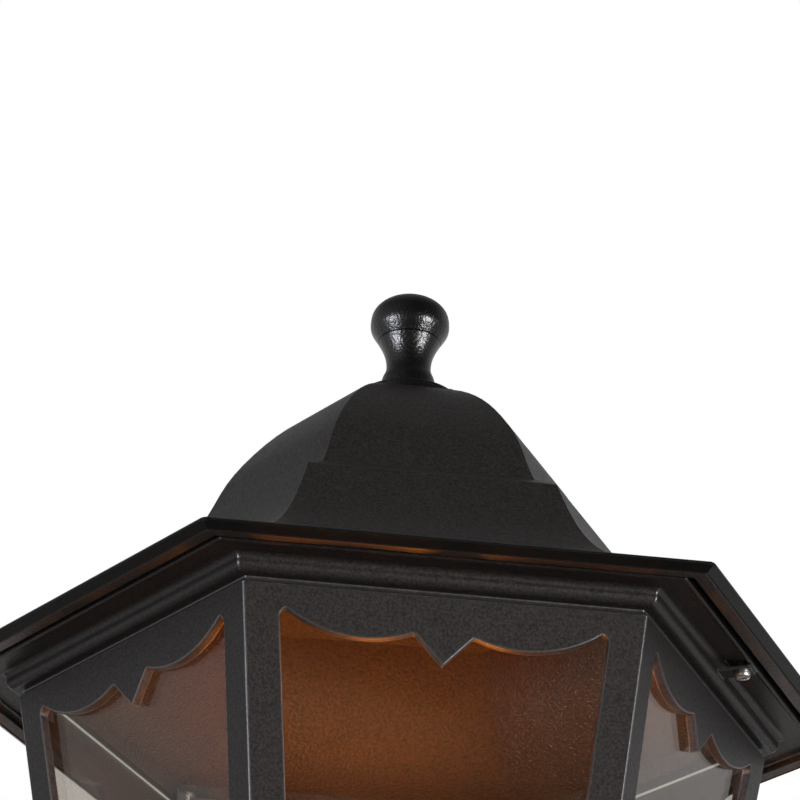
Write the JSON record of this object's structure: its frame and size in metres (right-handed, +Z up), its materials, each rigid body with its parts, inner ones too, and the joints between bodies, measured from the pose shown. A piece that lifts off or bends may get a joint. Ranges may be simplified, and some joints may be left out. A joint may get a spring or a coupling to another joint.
{
  "type": "victorian street lantern",
  "caption": "Hexagonal Victorian street lantern head in textured black, with a bell roof, knob finial, scalloped window heads, glass panes, an opal lamp and a round post socket.",
  "frame": {"origin": "centre of the lower end of the post socket", "axes": "+Z up along the lantern's axis, -Y square to the front window"},
  "size_m": [0.2964, 0.2582, 0.4752],
  "materials": {
    "black_powder_coat": "textured black powder coat",
    "black_knob_coat": "glossier black textured paint",
    "clear_glass": "clear float glass",
    "zinc_steel": "bright zinc-plated steel",
    "spring_steel": "bare spring steel",
    "black_foam": "black foam rubber",
    "white_porcelain": "white glazed porcelain",
    "plain_brass": "plain brass",
    "cap_aluminium": "bare aluminium",
    "opal_glass": "opal glass, lit from inside",
    "terminal_plastic": "off-white moulded plastic",
    "black_plastic": "black moulded plastic"
  },
  "bodies": {
    "root": {"finial": "black_knob_coat", "finial_collar": "black_knob_coat", "finial_washer": "zinc_steel", "finial_nut": "zinc_steel", "roof": "black_powder_coat", "roof_gasket": "black_foam", "roof_screws": "zinc_steel", "cage": "black_powder_coat", "pane_front": "clear_glass", "pane_right_front": "clear_glass", "pane_right_back": "clear_glass", "pane_back": "clear_glass", "pane_left_back": "clear_glass", "pane_left_front": "clear_glass", "pane_clips": "spring_steel", "clip_screws": "zinc_steel", "floor_plate": "zinc_steel", "base_screws": "zinc_steel", "base_bowl": "black_powder_coat", "post_fitter": "black_powder_coat", "fitter_screws": "zinc_steel", "post_screws": "zinc_steel", "holder_nipple": "plain_brass", "nipple_nut": "plain_brass", "lamp_holder": "white_porcelain", "lamp_cap": "cap_aluminium", "lamp_envelope": "opal_glass", "terminal_block": "terminal_plastic", "terminal_screw": "zinc_steel", "earth_washer": "zinc_steel", "earth_screw": "plain_brass", "cable_gland": "black_plastic", "gland_nut": "black_plastic"}
  },
  "joints": []
}
